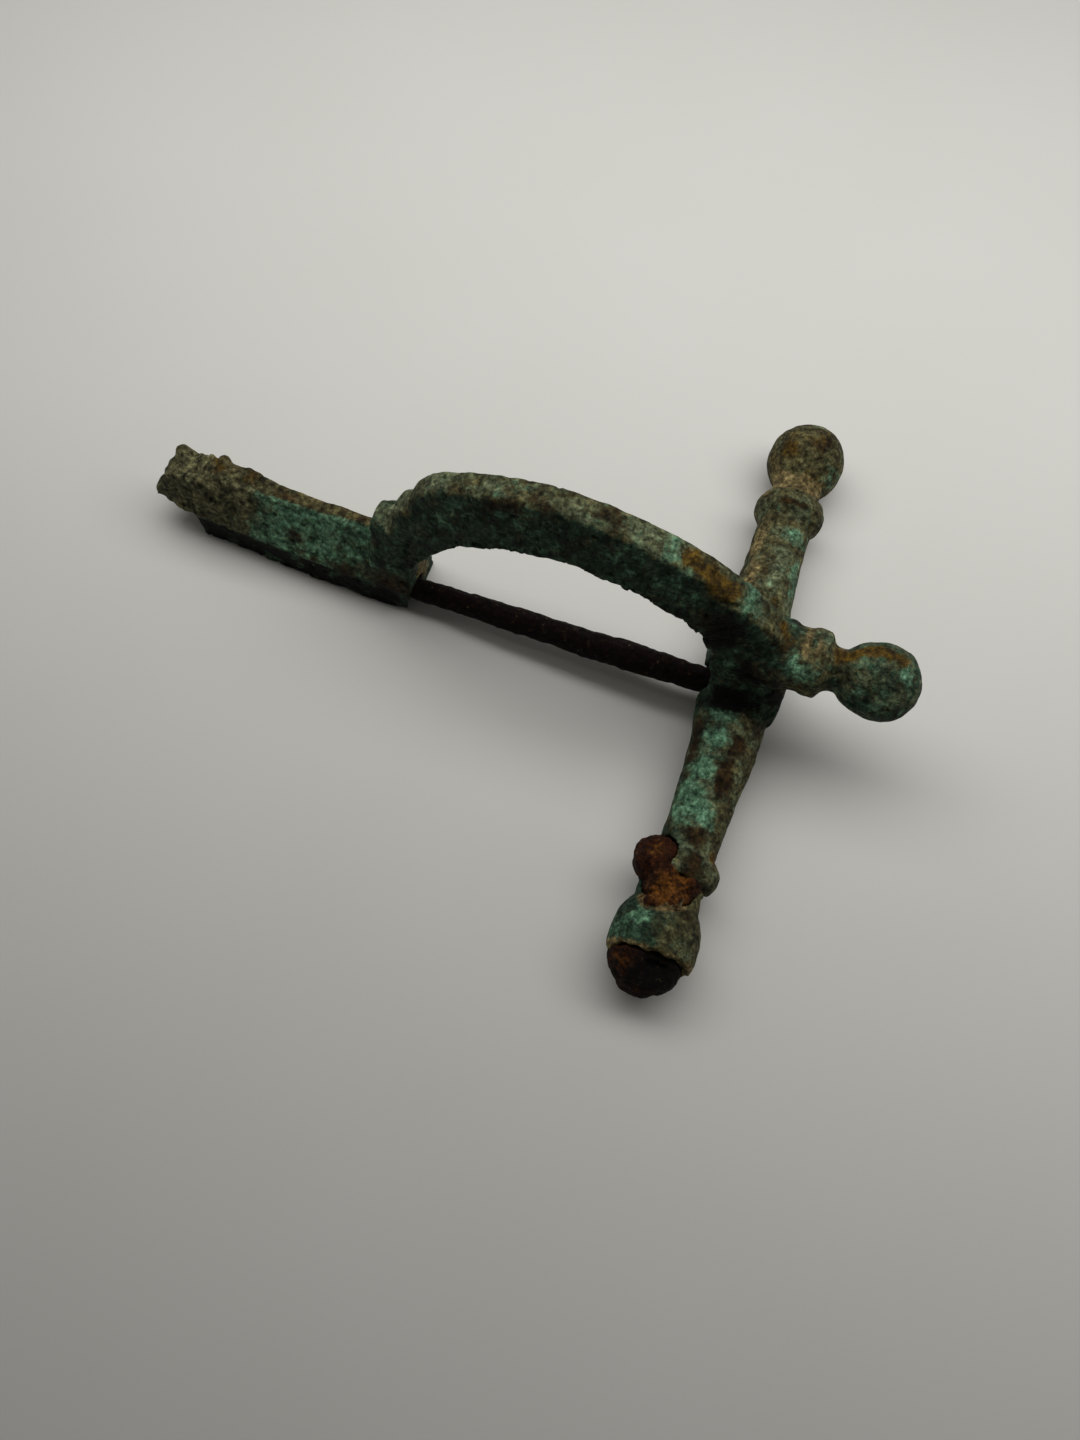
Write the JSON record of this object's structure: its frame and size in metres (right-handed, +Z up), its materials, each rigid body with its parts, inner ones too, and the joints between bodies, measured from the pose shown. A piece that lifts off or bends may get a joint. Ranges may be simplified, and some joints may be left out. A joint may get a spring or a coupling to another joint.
{
  "type": "fibula brooch",
  "caption": "Corroded cast crossbow brooch: arched bow, slotted foot with a broken tip, knobbed crossbar and a hinged iron pin. It lies on its side knobs and foot",
  "frame": {"origin": "middle of the whole outline, on the surface that the brooch lies on", "axes": "+X runs from the foot to the head knob, +Y along the crossbar to its whole knob, +Z up out of the back of the bow"},
  "size_m": [0.0822, 0.0658, 0.0267],
  "materials": {
    "bronze": "matt green and brown patina",
    "brown_bronze": "matt olive-brown patina",
    "rust": "rough orange-brown rust",
    "iron": "rough dark brown corroded iron"
  },
  "bodies": {
    "brooch": {"body": "bronze", "near_knob": "bronze", "far_knob": "brown_bronze", "axle": "rust"},
    "pin": {"pin": "iron"}
  },
  "joints": [
    {"name": "pin_hinge", "type": "hinge", "parent": "brooch", "child": "pin", "pos_m": [0.02517, 0.00053, 0.0041], "axis": [0, -1, 0], "range_deg": [0, 95]}
  ]
}
